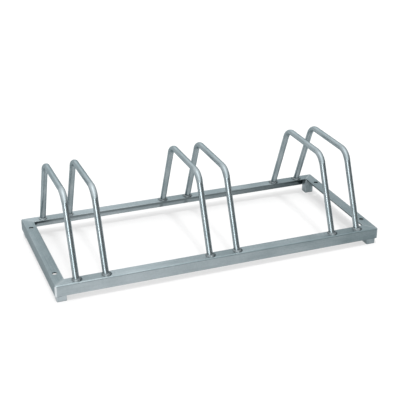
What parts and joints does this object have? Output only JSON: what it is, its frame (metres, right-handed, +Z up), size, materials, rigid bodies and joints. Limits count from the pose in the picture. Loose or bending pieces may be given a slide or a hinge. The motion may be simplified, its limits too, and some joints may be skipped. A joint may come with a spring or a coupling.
{
  "type": "floor bike rack",
  "caption": "Floor-standing bicycle rack: a welded steel-angle rectangle on short square feet, with pairs of bent tube hoops that hold wheels upright.",
  "frame": {"origin": "on the floor, under the middle of the rectangle of rails", "axes": "+X along the rack to the right, -Y the front where wheels roll in, +Z up"},
  "size_m": [0.89, 0.4, 0.25],
  "materials": {
    "rail_steel": "satin blue-grey zinc, faintly mottled",
    "tube_steel": "smooth satin zinc with long highlights",
    "foot_steel": "satin zinc",
    "weld_steel": "rippled weld metal under zinc"
  },
  "bodies": {
    "root": {"front_rail": "rail_steel", "back_rail": "rail_steel", "left_end_rail": "rail_steel", "right_end_rail": "rail_steel", "corner_weld_front_left": "weld_steel", "foot_front_left": "foot_steel", "foot_weld_front_left": "weld_steel", "corner_weld_front_right": "weld_steel", "foot_front_right": "foot_steel", "foot_weld_front_right": "weld_steel", "corner_weld_back_left": "weld_steel", "foot_back_left": "foot_steel", "foot_weld_back_left": "weld_steel", "corner_weld_back_right": "weld_steel", "foot_back_right": "foot_steel", "foot_weld_back_right": "weld_steel", "hoop_1_left": "tube_steel", "hoop_weld_1_left_front": "weld_steel", "hoop_weld_1_left_back": "weld_steel", "hoop_1_right": "tube_steel", "hoop_weld_1_right_front": "weld_steel", "hoop_weld_1_right_back": "weld_steel", "hoop_2_left": "tube_steel", "hoop_weld_2_left_front": "weld_steel", "hoop_weld_2_left_back": "weld_steel", "hoop_2_right": "tube_steel", "hoop_weld_2_right_front": "weld_steel", "hoop_weld_2_right_back": "weld_steel", "hoop_3_left": "tube_steel", "hoop_weld_3_left_front": "weld_steel", "hoop_weld_3_left_back": "weld_steel", "hoop_3_right": "tube_steel", "hoop_weld_3_right_front": "weld_steel", "hoop_weld_3_right_back": "weld_steel"}
  },
  "joints": []
}
